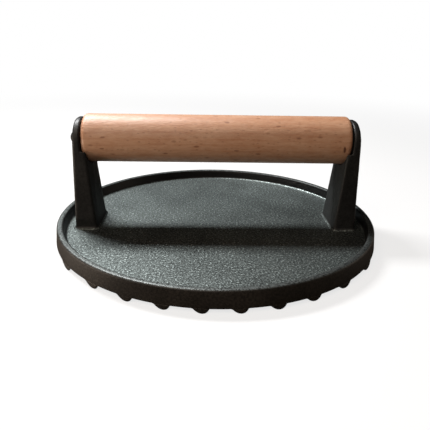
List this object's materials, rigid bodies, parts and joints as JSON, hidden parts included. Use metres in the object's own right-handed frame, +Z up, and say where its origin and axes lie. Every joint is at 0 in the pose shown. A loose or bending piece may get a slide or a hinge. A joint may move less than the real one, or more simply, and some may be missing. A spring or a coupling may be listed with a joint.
{
  "type": "burger press",
  "caption": "Round cast-iron burger press with a rimmed tray top, ribbed underside and a wooden grip that turns on a bolt between posts.",
  "frame": {"origin": "on the surface that the ribs stand on, under the plate's centre", "axes": "+Z up, X along the grip, -Y towards the front"},
  "size_m": [0.19, 0.19, 0.0706],
  "materials": {
    "cast_iron": "black seasoned, sand-cast grain",
    "beech": "smooth turned, bare",
    "steel": "blackened, satin"
  },
  "bodies": {
    "press": {"press_casting": "cast_iron", "bolt": "steel", "cap_nut": "steel"},
    "grip": {"grip": "beech"}
  },
  "joints": [
    {"name": "grip_turn", "type": "hinge", "parent": "press", "child": "grip", "pos_m": [0, 0, 0.0569], "axis": [1, 0, 0], "continuous": true}
  ]
}
